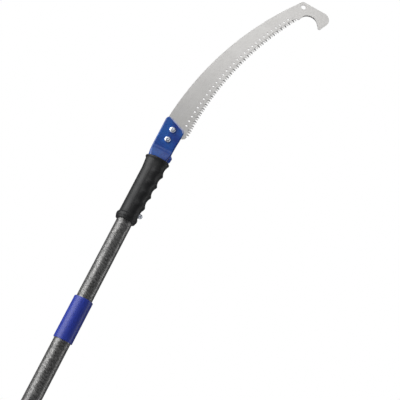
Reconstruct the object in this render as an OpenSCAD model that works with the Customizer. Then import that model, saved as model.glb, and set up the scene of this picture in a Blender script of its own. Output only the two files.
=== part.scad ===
// Telescoping pole saw: a curved pruning saw head on a two-section, twist-locked pole.
// Z runs up the pole from the butt, X points to the side that the teeth face, and the
// flat blade lies in the XZ plane. All lengths are in millimetres.

/* [Pole] */
// Outside diameter of the lower, outer tube
outer_d = 28; // [27.6:0.1:28.4]
// Wall of the outer tube
outer_wall = 0.4; // [0.3:0.05:0.4]
// Length of the outer tube
outer_len = 1200; // [900:10:1500]
// Outside diameter of the upper, inner tube
inner_d = 27; // [26.8:0.05:27.1]
// Wall of the inner tube
inner_wall = 0.5; // [0.4:0.05:0.5]
// Length of the inner tube
inner_len = 1200; // [900:10:1300]
// Length of inner tube that shows between the guide sleeve and the grip
exposed_len = 142.5; // [60:0.5:200]

/* [Guide sleeve] */
// Length of the blue sleeve at the top of the outer tube
sleeve_len = 71; // [60:1:90]
// Outside diameter of the sleeve
sleeve_d = 32; // [31.5:0.1:36]

/* [Butt cap] */
// Outside diameter of the cap on the butt
cap_d = 31; // [30.5:0.5:34]
// Length of tube that the cap covers
cap_cover = 40; // [25:1:60]
// Thickness of the flattened end with the hanging hole
cap_tongue_t = 12; // [8:1:16]
// Diameter of the hanging hole
hang_d = 9; // [6:0.5:11]

/* [Lock] */
// Offset of the lock ring's journal from the pole axis
lock_offset = 1.2; // [0.8:0.1:1.5]
// Diameter of the lock ring
ring_d = 26.2; // [26:0.1:26.4]

/* [Grip] */
// Distance that the pole goes up inside the handle
insert_len = 83.5; // [60:0.5:90]
// Radius of the grip's back
grip_r = 16.3; // [16.2:0.1:17]
// Distance from one finger ridge to the next
finger_pitch = 20.7; // [19:0.1:21]
// Depth of a finger hollow
finger_depth = 3; // [1:0.5:3]

/* [Ferrule] */
// Outside diameter of the ferrule's round tail
tail_d = 25.4; // [25:0.1:25.5]
// Width of the ferrule's flattened end
flat_w = 37.2; // [36:0.1:38]
// Thickness of the ferrule's flattened end
flat_t = 4.4; // [4:0.2:6]

/* [Blade] */
// Thickness of the saw blade
blade_t = 1.3; // [0.9:0.1:1.6]
// Height of a tooth
tooth_h = 6.5; // [4:0.5:7]
// Number of teeth
tooth_count = 67; // [40:1:67]
// Diameter of the sap holes
sap_d = 3.4; // [2:0.2:4]
// Diameter of the hole in the blade's tip
tip_hole_d = 9; // [5:0.5:10]

/* [Button] */
// Diameter of the snap button
button_d = 8.2; // [7:0.2:8.4]
// Distance from the pole axis to the button's crown
button_reach = 23; // [21:0.5:24]

/* [Hidden] */
$fn = 96;

// Running gap between pieces of one assembly that fit round each other
fit = 0.05;
// Extra length that carries a cut clear through a wall
over = 1;
// Thickness of the slices between which a shape is hulled
slice_t = 0.1;
// Sides of small and large hulled rounds
round_fn = 32;
tail_fn = 64;

// Heights along the pole
cap_solid = 22;
tongue_len = 17;
hang_z = 10;
tube_bottom = cap_solid;
tube_top = tube_bottom + outer_len;
sleeve_lip = 11;
sleeve_top = tube_top + sleeve_lip;
sleeve_bottom = sleeve_top - sleeve_len;
grip_down = 91.5;
head_z = sleeve_top + exposed_len + grip_down;
inner_top = head_z - grip_down + insert_len;
inner_bottom = inner_top - inner_len;

// Radii of the pole
outer_r = outer_d / 2;
bore_r = outer_r - outer_wall;
inner_r = inner_d / 2;
inner_bore_r = inner_r - inner_wall;

// Guide sleeve and its bush
bush_r = 14.9;
bush_len = 8;
bush_gap = 0.15;
sleeve_lip_r = 13.8;
rivet_r = 1.6;
rivet_head_r = 3;
rivet_head_h = 1;
rivet_spread = 14;

// Twist lock at the bottom of the inner tube
plug_stem = 35;
plug_flange = 4;
plug_flange_r = 13.3;
glide_len = 20;
glide_r = 13.5;
glide_bore_r = 11;
mid_flange = 3;
journal_r = 8;
ring_len = 20;
end_gap = 0.2;
split_w = 2;
washer_r = 11;
washer_t = 1.5;
screw_r = 2.5;
screw_len = 16;
screw_head_r = 4.8;
screw_head_h = 3;
hex_r = 1.9;
hex_depth = 1.6;
glide_top = inner_bottom - plug_flange;
glide_bottom = glide_top - glide_len;
journal_top = glide_bottom - mid_flange;
journal_bottom = journal_top - ring_len;
plug_rivet_z = inner_bottom + 20;
plug_rivet_depth = 4.5;

// Handle core, heights from the middle of the hand
core_r = 15;
core_down = 90;
core_up = 2;
core_step = grip_down - insert_len - 0.5;
core_bore_r = 13.7;
core_rivet_z = -3;

// Ferrule, heights from the middle of the hand
tail_r = tail_d / 2;
tail_bore_r = 11.5;
tail_down = 88;
flare_z = 29;
flare_half_w = 16.6;
flare_half_t = 7.5;
flare_wall = 1.4;
flat_z = 50;
flat_edge_r = flat_t / 2;
// Arcs that round the two upper corners, as [x, z, radius, first angle, last angle, steps]
low_corner = [13.2, 89.8, 7.2, 0, 66, 6];
high_corner = [-12, 100.6, 6.6, 66, 180, 8];
// Height from which the edge on the tooth side widens
widen_z = 56;
slot_t = blade_t + 0.1;
slot_left = -16.9;
slot_right = 14.6;
slot_bottom = 56;
slot_open_z = 75.5;
slot_reach = 40;
slot_top = 120;
lug_t = 3;
lug_outline = [[16, 31], [21.4, 31], [22.4, 39.5], [18, 44.5], [16, 44]];

// Two sets of screw, lock washer and nut that clamp the blade
screw_z = [67.5, 87];
screw_x = 0.4;
screw_hole_r = 3.1;
shank_r = 3;
shank_over = 7;
head_r = 5.4;
head_h = 3.2;
head_round = 2.2;
head_span = [-90, 0, 6];
socket_r = 2;
socket_depth = 2;
lock_washer_r = 5;
lock_washer_t = 1.2;
nut_r = 5.7;
nut_h = 4.6;

// Grip, heights from the middle of the hand
grip_up = 28;
grip_front_r = 15;
grip_front_x = 8.7;
grip_back_swell = 1.6;
grip_low = [[16.9, -84], [17.3, -67], [18.2, -62]];
grip_high = [[-17.9, 25], [-17.2, 15]];
ridge_count = 4;
ridge_steps = 8;
// Half section of the bottom rim, from the bottom of the grip
bottom_rim = [
    [0, 0], [16.6, 0], [17.6, 3], [18.5, 5.5], [18.6, 8.5],
    [17.8, 11], [16.9, 12.5], [16.9, 14.5], [16, 15.5], [0, 15.5]
];
ridge_top_z = 4.6;
ridge_x = 22.8;
ridge_slope = 0.042;
rim_r = 21.6;
rim_x = 1.8;
rim_t = 4;
rim_flat = 0.78;
rim_span = [-75, 90, 8];
pocket_gap = 0.3;
pocket_h = 2;

// Blade, heights from the middle of the hand
back_arc = [600.9, 58.1, 618.6];
back_heights = [106:12:418];
tooth_arc = [652.8, 82, 622.6];
tooth_start = 0.964;
tooth_step = 0.432;
tooth_rake = 0.2;
sap_arc_r = 635.2;
sap_drift = 0.07;
sap_start = 2.175;
sap_step = 0.89;
sap_count = 30;
tip_hole = [108.6, 416.2];
// Arcs round the nose, hook and throat, as [x, z, radius, first angle, last angle, steps]
nose_arc = [106.2, 421.2, 5.3, 144, 87, 6];
corner_arc = [147.3, 409.6, 14.4, 87, -18, 10];
throat_arc = [129.4, 386.4, 17.9, 35, 170, 14];
point_arc = [150.9, 391.2, 3, -30, -180, 6];
point_side = [156, 395.6];
heel = [[27.4, 87.4], [25.6, 82.4], [14, 76.2]];
tang = [[12.5, 57], [-14.5, 57], [-16.2, 90]];

// Snap button and its spring, heights from the middle of the hand
button_z = -73.5;
button_r = button_d / 2;
button_hole = 0.2;
spring_w = 7;
spring_t = 0.8;
spring_x = 10.8;
spring_low = -84;
spring_bend = -66;
spring_top = -32;
spring_nose = 3;

// Colours
blue_paint = [0.13, 0.25, 0.62];
blue_plastic = [0.18, 0.2, 0.62];
pole_grey = [0.36, 0.36, 0.35];
black_rubber = [0.1, 0.1, 0.1];
black_plastic = [0.17, 0.17, 0.18];
bright = [0.82, 0.83, 0.85];
blade_steel = [0.74, 0.73, 0.71];
nylon = [0.88, 0.87, 0.82];

// Points of an arc given as [x, z, radius, first angle, last angle, steps]
function arc(c) = [
    for (i = [0:c[5]]) let (t = c[3] + (c[4] - c[3]) * i / c[5]) [c[0] + c[2] * cos(t), c[1] + c[2] * sin(t)]
];

// A flat shape in the XZ plane, t thick and centred on Y = 0
module plate(t) {
    rotate([90, 0, 0])
        linear_extrude(height = t, center = true)
            children();
}

// A rod of radius r along X, from x = a to x = b, at height z
module rod_x(r, a, b, z, y = 0) {
    translate([a, y, z])
        rotate([0, 90, 0])
            cylinder(r = r, h = b - a);
}

// A rod of radius r along Y, from y = a to y = b
module rod_y(r, a, b, z, x = 0) {
    translate([x, a, z])
        rotate([-90, 0, 0])
            cylinder(r = r, h = b - a);
}

// A tube along Z from z = a to z = b
module tube(r_out, r_in, a, b) {
    difference() {
        translate([0, 0, a])
            cylinder(r = r_out, h = b - a);
        translate([0, 0, a - over])
            cylinder(r = r_in, h = b - a + 2 * over);
    }
}

// A ring with a narrow slot down one side, so that it can spring
module split_ring(r_out, r_in, a, b, shift) {
    difference() {
        translate([0, 0, a])
            cylinder(r = r_out, h = b - a);
        translate([shift, 0, a - over])
            cylinder(r = r_in, h = b - a + 2 * over);
        translate([-2 * r_out, -split_w / 2, a - over])
            cube([2 * r_out, split_w, b - a + 2 * over]);
    }
}

module outer_tube() {
    color(pole_grey)
        difference() {
            tube(outer_r, bore_r, tube_bottom, tube_top);
            for (i = [0, 1])
                rod_y(rivet_r + fit, 0, outer_r + over, rivet_height(i));
        }
}

// Height of rivet i of the guide sleeve
function rivet_height(i) = sleeve_bottom + sleeve_len / 2 + (i - 0.5) * rivet_spread;

module butt_cap() {
    color(black_rubber)
        difference() {
            cylinder(r = cap_d / 2, h = cap_solid + cap_cover);
            translate([0, 0, cap_solid])
                cylinder(r = outer_r + fit, h = cap_cover + over);
            for (side = [-1, 1])
                translate([-cap_d, side > 0 ? cap_tongue_t / 2 : -cap_tongue_t / 2 - cap_d, -over])
                    cube([2 * cap_d, cap_d, tongue_len + over]);
            rod_y(hang_d / 2, -cap_d, cap_d, hang_z);
        }
}

module guide_sleeve() {
    color(blue_plastic)
        difference() {
            translate([0, 0, sleeve_bottom])
                cylinder(r = sleeve_d / 2, h = sleeve_len);
            translate([0, 0, sleeve_bottom - over])
                cylinder(r = outer_r + fit, h = tube_top - sleeve_bottom + over);
            translate([0, 0, tube_top - fit])
                cylinder(r = bush_r + fit, h = bush_len + 2 * fit);
            translate([0, 0, tube_top])
                cylinder(r = sleeve_lip_r, h = sleeve_lip + over);
            for (i = [0, 1])
                rod_y(rivet_r + fit, 0, sleeve_d, rivet_height(i));
        }
}

module sleeve_rivets() {
    color(bright)
        for (i = [0, 1]) {
            rod_y(rivet_r, bore_r + fit, sleeve_d / 2 + rivet_head_h, rivet_height(i));
            rod_y(rivet_head_r, sleeve_d / 2 + fit, sleeve_d / 2 + rivet_head_h, rivet_height(i));
        }
}

module guide_bush() {
    color(nylon)
        tube(bush_r, inner_r + bush_gap, tube_top, tube_top + bush_len);
}

module glide_sleeve() {
    color(nylon)
        split_ring(glide_r, glide_bore_r, glide_bottom + end_gap, glide_top - end_gap, 0);
}

module inner_tube() {
    color(pole_grey)
        difference() {
            tube(inner_r, inner_bore_r, inner_bottom, inner_top);
            rod_x(button_r + button_hole, 0, inner_r + over, head_z + button_z);
            rod_x(rivet_r + fit, -inner_r - over, inner_r + over, plug_rivet_z);
        }
}

module lock_plug() {
    color(nylon)
        difference() {
            union() {
                translate([0, 0, glide_top + plug_flange])
                    cylinder(r = inner_bore_r - fit, h = plug_stem);
                translate([0, 0, glide_top])
                    cylinder(r = plug_flange_r, h = plug_flange);
                translate([0, 0, glide_bottom])
                    cylinder(r = glide_bore_r - 2 * fit, h = glide_len);
                translate([0, 0, journal_top])
                    cylinder(r = plug_flange_r, h = mid_flange);
                translate([lock_offset, 0, journal_bottom])
                    cylinder(r = journal_r, h = ring_len);
            }
            rod_x(rivet_r + fit, -inner_r, fit - inner_bore_r + plug_rivet_depth, plug_rivet_z);
            rod_x(rivet_r + fit, inner_bore_r - plug_rivet_depth - fit, inner_r, plug_rivet_z);
            translate([lock_offset, 0, journal_bottom - over])
                cylinder(r = screw_r + fit, h = screw_len + over);
        }
}

module plug_rivets() {
    color(bright)
        for (a = [0, 180])
            rotate([0, 0, a])
                rod_x(rivet_r, inner_bore_r - plug_rivet_depth, inner_r - fit, plug_rivet_z);
}

module lock_ring() {
    color(black_plastic)
        split_ring(
            ring_d / 2, journal_r + fit, journal_bottom + end_gap, journal_top - end_gap, lock_offset
        );
}

module ring_washer() {
    color(bright)
        translate([lock_offset, 0, 0])
            tube(washer_r, screw_r + fit, journal_bottom - washer_t, journal_bottom);
}

module ring_screw() {
    seat = journal_bottom - washer_t;
    color(bright)
        translate([lock_offset, 0, 0])
            difference() {
                union() {
                    translate([0, 0, seat - screw_head_h])
                        cylinder(r = screw_head_r, h = screw_head_h);
                    translate([0, 0, seat])
                        cylinder(r = screw_r, h = screw_len);
                }
                translate([0, 0, seat - screw_head_h - over])
                    cylinder(r = hex_r, h = hex_depth + over, $fn = 6);
            }
}

// Solid that runs from the round tail to the flattened end, drawn in by the wall w
module flare(w) {
    hull() {
        translate([0, 0, core_up])
            cylinder(r = tail_r - w, h = slice_t, $fn = tail_fn);
        flare_slice(w);
    }
    hull() {
        flare_slice(w);
        for (side = [-1, 1])
            translate([side * (flat_w / 2 - flat_edge_r), 0, flat_z])
                cylinder(r = flat_edge_r - min(w, flat_edge_r - slot_t / 2), h = slice_t, $fn = round_fn);
    }
}

// The oval section where the ferrule leaves the grip
module flare_slice(w) {
    for (side = [-1, 1])
        translate([side * (flare_half_w - flare_half_t), 0, flare_z])
            cylinder(r = flare_half_t - w, h = slice_t, $fn = round_fn);
}

// Outline of the flattened end, with its slanted top
module flat_outline() {
    half = flat_w / 2;
    polygon(concat(
        [[-half, flat_z], [half, flat_z], [half, widen_z]],
        arc(low_corner),
        arc(high_corner)
    ));
}

// Outline of the space between the two walls that the blade's tang fills
module slot_outline() {
    polygon([
        [slot_left, slot_bottom], [slot_right, slot_bottom], [slot_right, slot_open_z],
        [slot_reach, slot_open_z], [slot_reach, slot_top], [slot_left, slot_top]
    ]);
}

module ferrule() {
    color(blue_paint)
        translate([0, 0, head_z])
            difference() {
                union() {
                    tube(tail_r, tail_bore_r, -tail_down, core_up + fit);
                    difference() {
                        flare(0);
                        flare(flare_wall);
                    }
                    plate(flat_t)
                        flat_outline();
                    plate(lug_t)
                        polygon(lug_outline);
                }
                plate(slot_t)
                    slot_outline();
                for (z = screw_z)
                    rod_y(screw_hole_r, -flat_t, flat_t, z, screw_x);
                rod_x(button_r + button_hole, 0, tail_r + over, button_z);
                rod_y(rivet_r + fit, -tail_r - over, tail_r + over, core_rivet_z);
            }
}

module handle_core() {
    color(black_plastic)
        translate([0, 0, head_z])
            difference() {
                translate([0, 0, -core_down])
                    cylinder(r = core_r, h = core_down + core_up);
                translate([0, 0, -core_down - over])
                    cylinder(r = tail_r + fit, h = core_down + core_up + 2 * over);
                translate([0, 0, -core_down - over])
                    cylinder(r = core_bore_r, h = core_down - core_step + over);
                rod_x(button_r + 2 * button_hole, 0, core_r + over, button_z);
                rod_y(rivet_r + fit, -core_r - over, core_r + over, core_rivet_z);
            }
}

module core_rivets() {
    color(bright)
        translate([0, 0, head_z + core_rivet_z])
            for (a = [0, 180])
                rotate([0, 0, a])
                    rod_y(rivet_r, tail_bore_r + fit, core_r - fit, 0);
}

// Front of the finger ridges at height z
function ridge_line(z) = ridge_x + ridge_slope * (z - ridge_top_z);

// Side outline of the grip between its two rims
module grip_outline() {
    low = ridge_top_z - (ridge_count - 1) * finger_pitch;
    high = grip_high[0][1];
    polygon(concat(
        [[-grip_r, grip_low[0][1]]],
        grip_low,
        [for (k = [0:ridge_count - 1], i = [0:ridge_steps - 1])
            let (u = i / ridge_steps, z = low + (k + u) * finger_pitch)
            [ridge_line(z) - finger_depth * 4 * u * (1 - u), z]],
        [[ridge_line(high), high]],
        grip_high,
        [[-grip_r, core_up]]
    ));
}

module grip() {
    color(black_rubber)
        translate([0, 0, head_z])
            difference() {
                union() {
                    intersection() {
                        plate(2 * grip_r)
                            grip_outline();
                        translate([0, 0, -grip_down])
                            union() {
                                cylinder(r = grip_r + grip_back_swell, h = 2 * grip_down);
                                translate([grip_front_x, 0, 0])
                                    cylinder(r = grip_front_r, h = 2 * grip_down);
                            }
                    }
                    translate([0, 0, -grip_down])
                        rotate_extrude()
                            polygon(bottom_rim);
                    translate([rim_x, 0, grip_up - rim_t])
                        scale([1, rim_flat, 1])
                            rotate_extrude()
                                polygon(concat(
                                    [[0, 0], [rim_r - rim_t / 2, 0]],
                                    arc(concat([rim_r - rim_t / 2, rim_t / 2, rim_t / 2], rim_span)),
                                    [[0, rim_t]]
                                ));
                }
                translate([0, 0, -grip_down - over])
                    cylinder(r = core_bore_r, h = grip_down);
                translate([0, 0, -core_down - fit])
                    cylinder(r = core_r + fit, h = core_down + core_up + 2 * fit);
                grip_pocket();
                rod_x(button_r + 4 * button_hole, 0, button_reach, button_z);
            }
}

// Space in the grip's mouth for the ferrule's flare
module grip_pocket() {
    hull() {
        translate([0, 0, core_up - fit])
            cylinder(r = tail_r + pocket_gap, h = slice_t, $fn = tail_fn);
        for (side = [-1, 1])
            translate([side * (flare_half_w - flare_half_t), 0, flare_z])
                cylinder(r = flare_half_t + pocket_gap, h = pocket_h, $fn = round_fn);
    }
}

// A point on the tooth side, at angle a and d inside the tooth tips
function edge_point(a, d) = [
    tooth_arc[0] - (tooth_arc[2] + d) * cos(a),
    tooth_arc[1] + (tooth_arc[2] + d) * sin(a)
];

// A point on the blade's back at height z
function back_point(z) = [
    back_arc[0] - sqrt(back_arc[2] * back_arc[2] - (z - back_arc[1]) * (z - back_arc[1])), z
];

// The tip of tooth i, and the gullet below it
function tooth_tip(i) = edge_point(tooth_start + (i - tooth_rake) * tooth_step, 0);
function gullet(i) = edge_point(tooth_start + (i - 0.5) * tooth_step, tooth_h);

module blade_outline() {
    polygon(concat(
        [for (z = back_heights) back_point(z)],
        arc(nose_arc),
        arc(corner_arc),
        [point_side],
        arc(point_arc),
        arc(throat_arc),
        [for (i = [tooth_count - 1:-1:0], part = [0, 1]) part == 0 ? tooth_tip(i) : gullet(i)],
        heel,
        tang
    ));
}

module blade() {
    color(blade_steel)
        translate([0, 0, head_z])
            difference() {
                plate(blade_t)
                    blade_outline();
                rod_y(tip_hole_d / 2, -over, over, tip_hole[1], tip_hole[0]);
                for (i = [0:sap_count - 1])
                    sap_hole(i);
                for (z = screw_z)
                    rod_y(screw_hole_r, -over, over, z, screw_x);
            }
}

// Sap hole i, counted from the heel
module sap_hole(i) {
    a = sap_start + i * sap_step;
    r = sap_arc_r - i * sap_drift;
    rod_y(sap_d / 2, -over, over, tooth_arc[1] + r * sin(a), tooth_arc[0] - r * cos(a));
}

module blade_screws() {
    color(bright)
        for (z = screw_z)
            translate([screw_x, -flat_t / 2, head_z + z])
                rotate([-90, 0, 0])
                    difference() {
                        union() {
                            translate([0, 0, -head_h])
                                rotate_extrude()
                                    polygon(concat(
                                        [[0, 0]],
                                        arc(concat([head_r - head_round, head_round, head_round], head_span)),
                                        [[head_r, head_h], [0, head_h]]
                                    ));
                            cylinder(r = shank_r, h = flat_t + shank_over);
                        }
                        translate([0, 0, -head_h - over])
                            cylinder(r = socket_r, h = socket_depth + over, $fn = 6);
                    }
}

module lock_washers() {
    color(bright)
        for (z = screw_z)
            translate([screw_x, flat_t / 2, head_z + z])
                rotate([-90, 0, 0])
                    tube(lock_washer_r, shank_r + fit, 0, lock_washer_t);
}

module blade_nuts() {
    color(bright)
        for (z = screw_z)
            translate([screw_x, flat_t / 2 + lock_washer_t, head_z + z])
                rotate([-90, 0, 0])
                    difference() {
                        cylinder(r = nut_r, h = nut_h, $fn = 6);
                        translate([0, 0, -over])
                            cylinder(r = shank_r + fit, h = nut_h + 2 * over);
                    }
}

module snap_button() {
    color(bright)
        translate([0, 0, head_z])
            union() {
                plate(spring_w)
                    spring_outline();
                rod_x(button_r, spring_x - spring_t / 2, button_reach - button_r, button_z);
                translate([button_reach - button_r, 0, button_z])
                    sphere(r = button_r);
            }
}

// Side outline of the V spring that carries the button
module spring_outline() {
    difference() {
        spring_shape(0, 0);
        spring_shape(spring_t, over);
    }
}

// The spring's outer outline, drawn in by t and carried down by d
module spring_shape(t, d) {
    foot = spring_x - t;
    nose = spring_nose - 0.75 * t;
    polygon([
        [-foot, spring_low - d], [-foot, spring_bend], [-nose, spring_top - t],
        [nose, spring_top - t], [foot, spring_bend], [foot, spring_low - d]
    ]);
}

outer_tube();
butt_cap();
guide_sleeve();
sleeve_rivets();
guide_bush();
glide_sleeve();
inner_tube();
lock_plug();
plug_rivets();
lock_ring();
ring_washer();
ring_screw();
ferrule();
handle_core();
core_rivets();
grip();
blade();
blade_screws();
lock_washers();
blade_nuts();
snap_button();
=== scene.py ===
"""Looks of the telescoping pole saw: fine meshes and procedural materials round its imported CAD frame."""
import math

import bmesh
import bpy
from mathutils import Matrix, Vector

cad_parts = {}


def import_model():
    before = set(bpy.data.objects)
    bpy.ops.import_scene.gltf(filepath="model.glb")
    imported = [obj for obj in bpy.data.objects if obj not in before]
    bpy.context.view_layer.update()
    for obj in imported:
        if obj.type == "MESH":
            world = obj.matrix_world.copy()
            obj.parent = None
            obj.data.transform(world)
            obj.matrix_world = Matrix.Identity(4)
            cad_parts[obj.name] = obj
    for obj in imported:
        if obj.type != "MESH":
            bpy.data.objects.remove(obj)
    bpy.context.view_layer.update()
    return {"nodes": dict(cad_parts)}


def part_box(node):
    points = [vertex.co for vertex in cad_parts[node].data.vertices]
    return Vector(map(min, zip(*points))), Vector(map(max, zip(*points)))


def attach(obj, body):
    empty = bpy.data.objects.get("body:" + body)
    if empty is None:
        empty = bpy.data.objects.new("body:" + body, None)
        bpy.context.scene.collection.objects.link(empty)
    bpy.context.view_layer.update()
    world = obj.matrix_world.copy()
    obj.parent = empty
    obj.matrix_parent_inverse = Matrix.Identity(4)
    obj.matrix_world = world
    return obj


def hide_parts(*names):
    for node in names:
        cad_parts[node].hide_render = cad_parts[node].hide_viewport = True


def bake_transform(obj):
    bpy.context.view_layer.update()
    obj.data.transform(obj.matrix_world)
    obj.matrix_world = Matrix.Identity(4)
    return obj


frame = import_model()

# ---------------------------------------------------------------- places from the frame, in metres
MM = 0.001
GRIP_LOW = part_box("grip")[0]
SLEEVE_LOW, SLEEVE_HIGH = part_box("guide_sleeve")
OUTER_LOW, OUTER_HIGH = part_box("outer_tube")
INNER_LOW, INNER_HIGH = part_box("inner_tube")
CAP_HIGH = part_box("butt_cap")[1]

# ---------------------------------------------------------------- sizes shared by the pieces, in millimetres
# Depth of the grip's lower end below the middle of the hand
GRIP_DOWN = 91.5
# Height of the middle of the hand, from which the head's own heights count
HAND = GRIP_LOW.z / MM + GRIP_DOWN
# Height, radius and reach of the snap button, and the radius of its holes in the metal
BUTTON_Z, BUTTON_R, BUTTON_REACH, BUTTON_HOLE_R = -73.5, 4.1, 23.0, 4.3
# The ferrule's round tail, its flat end, and the height where it is flat
TAIL_R, TAIL_BORE = 12.7, 11.5
FLAT_W, FLAT_T, FLAT_Z = 18.6, 2.2, 50.0
# The two rounded corners of the ferrule's slanted edge as centre and radius, and the slant
LOW_CORNER, HIGH_CORNER = (13.2, 89.8, 7.2), (-12.0, 100.6, 6.6)
SLANT = math.radians(66)
# Width of the painted highlight: a pale band along the slanted edge that stands in for light caught by the
# rounded edge
HIGHLIGHT_BAND = 5.6
# The blade's back as centre and radius of an arc
BACK_ARC = (600.9, 58.1, 618.6)


# ---------------------------------------------------------------- mesh helpers
# Angle in degrees past which an edge is shaded sharp, unless a piece says otherwise
SHARP = 32


def point(x, y, z):
    """A point given in millimetres, with z counted from the middle of the hand."""
    return Vector((x, y, z + HAND)) * MM


def smoothstep(t):
    t = min(max(t, 0.0), 1.0)
    return t * t * (3 - 2 * t)


def lerp(a, b, t):
    return a + (b - a) * t


def arc(cx, cy, r, a, b, n):
    """Points of an arc from angle a to angle b, in degrees."""
    turns = [math.radians(a + (b - a) * i / n) for i in range(n + 1)]
    return [(cx + r * math.cos(t), cy + r * math.sin(t)) for t in turns]


def circle_ring(r, z, n):
    """A ring of n points round the pole axis, in the head's millimetres."""
    turns = [math.tau * i / n for i in range(n)]
    return [point(r * math.cos(t), r * math.sin(t), z) for t in turns]


def stadium_points(w, t, n):
    """n points evenly spaced round a flattened tube of half width w and half thickness t."""
    flat = max(w - t, 0.0)
    quarter = math.pi * t / 2
    spans = [quarter, 2 * flat, 2 * quarter, 2 * flat, quarter]
    whole = sum(spans)
    points = []
    for i in range(n):
        s = whole * i / n
        k = 0
        while k < 4 and s > spans[k]:
            s -= spans[k]
            k += 1
        if k == 0:
            points.append((flat + t * math.cos(s / t), t * math.sin(s / t)))
        elif k == 1:
            points.append((flat - s, t))
        elif k == 2:
            a = math.pi / 2 + s / t
            points.append((-flat + t * math.cos(a), t * math.sin(a)))
        elif k == 3:
            points.append((-flat + s, -t))
        else:
            a = 1.5 * math.pi + s / t
            points.append((flat + t * math.cos(a), t * math.sin(a)))
    return points


def skin(bm, rings, closed=False):
    """Joins rings of equal length with quads; closed also joins the last ring to the first."""
    rows = [[bm.verts.new(p) for p in ring] for ring in rings]
    pairs = list(zip(rows, rows[1:]))
    if closed:
        pairs.append((rows[-1], rows[0]))
    n = len(rows[0])
    for low, high in pairs:
        for i in range(n):
            j = (i + 1) % n
            bm.faces.new((low[i], low[j], high[j], high[i]))
    return rows


def make(name, bm, sharp=SHARP):
    """Turns a bmesh into an object with smooth shading that breaks at sharp edges."""
    bmesh.ops.remove_doubles(bm, verts=bm.verts, dist=1e-7)
    bmesh.ops.recalc_face_normals(bm, faces=bm.faces)
    mesh = bpy.data.meshes.new(name)
    bm.to_mesh(mesh)
    bm.free()
    obj = bpy.data.objects.new(name, mesh)
    bpy.context.scene.collection.objects.link(obj)
    shade(obj, sharp)
    return obj


def shade(obj, sharp):
    obj.data.shade_smooth()
    obj.data.set_sharp_from_angle(angle=math.radians(sharp))


def turned(profile, n, place):
    """A ring of n points for each (radius, height) pair in millimetres, turned about Z and then placed."""
    turns = [math.tau * i / n for i in range(n)]
    return [[place @ (Vector((r * math.cos(t), r * math.sin(t), z)) * MM) for t in turns]
            for r, z in profile]


def lathe(name, profile, n):
    """A closed profile of (radius, height) pairs, turned about the pole axis."""
    bm = bmesh.new()
    skin(bm, turned(profile, n, Matrix.Identity(4)), closed=True)
    return make(name, bm)


def solid_lathe(name, profile, n, place, sharp=SHARP):
    """A profile that starts and ends on the axis, turned and placed."""
    bm = bmesh.new()
    rows = skin(bm, turned(profile[1:-1], n, place))
    for row, (_, z) in ((rows[0], profile[0]), (rows[-1], profile[-1])):
        tip = bm.verts.new(place @ (Vector((0, 0, z)) * MM))
        for i in range(n):
            bm.faces.new((row[i], row[(i + 1) % n], tip))
    return make(name, bm, sharp)


def slab(name, outline, half):
    """An outline of (x, z) points in the head's millimetres, extruded by half to each side."""
    bm = bmesh.new()
    front = [bm.verts.new(point(x, -half, z)) for x, z in outline]
    back = [bm.verts.new(point(x, half, z)) for x, z in outline]
    bm.faces.new(front)
    bm.faces.new(list(reversed(back)))
    n = len(outline)
    for i in range(n):
        j = (i + 1) % n
        bm.faces.new((front[j], front[i], back[i], back[j]))
    return make(name, bm)


def settle(obj):
    """Applies every modifier of obj."""
    graph = bpy.context.evaluated_depsgraph_get()
    mesh = bpy.data.meshes.new_from_object(obj.evaluated_get(graph))
    obj.modifiers.clear()
    obj.data = mesh


def carve(obj, *cutters, sharp=SHARP):
    """Cuts the cutters out of obj and removes them."""
    for cutter in cutters:
        cut = obj.modifiers.new("cut", "BOOLEAN")
        cut.operation = "DIFFERENCE"
        cut.solver = "EXACT"
        cut.object = cutter
        settle(obj)
        bpy.data.objects.remove(cutter)
    shade(obj, sharp)
    return obj


def bevel(obj, width, segments):
    """Rounds the sharp edges of obj by width, in millimetres."""
    soft = obj.modifiers.new("soft edges", "BEVEL")
    soft.width = width * MM
    soft.segments = segments
    soft.limit_method = "ANGLE"
    soft.angle_limit = math.radians(40)
    soft.harden_normals = False
    settle(obj)
    shade(obj, SHARP)
    return obj


def join(obj, *others):
    """Adds the meshes of the others to obj."""
    bm = bmesh.new()
    bm.from_mesh(obj.data)
    for other in others:
        bm.from_mesh(other.data)
        bpy.data.objects.remove(other)
    bm.to_mesh(obj.data)
    bm.free()
    return obj


def along(axis, origin):
    """The placing of a lathe whose Z runs along the given axis, from an origin in metres."""
    turn = Vector((0, 0, 1)).rotation_difference(Vector(axis))
    return Matrix.Translation(origin) @ turn.to_matrix().to_4x4()


def finish_piece(obj, material, body, slot, *nodes):
    """Gives a piece its material and its body, and hides the CAD nodes that it stands for; slot is not used.
    """
    obj.data.materials.clear()
    obj.data.materials.append(material)
    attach(obj, body)
    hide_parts(*nodes)
    return obj


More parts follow.
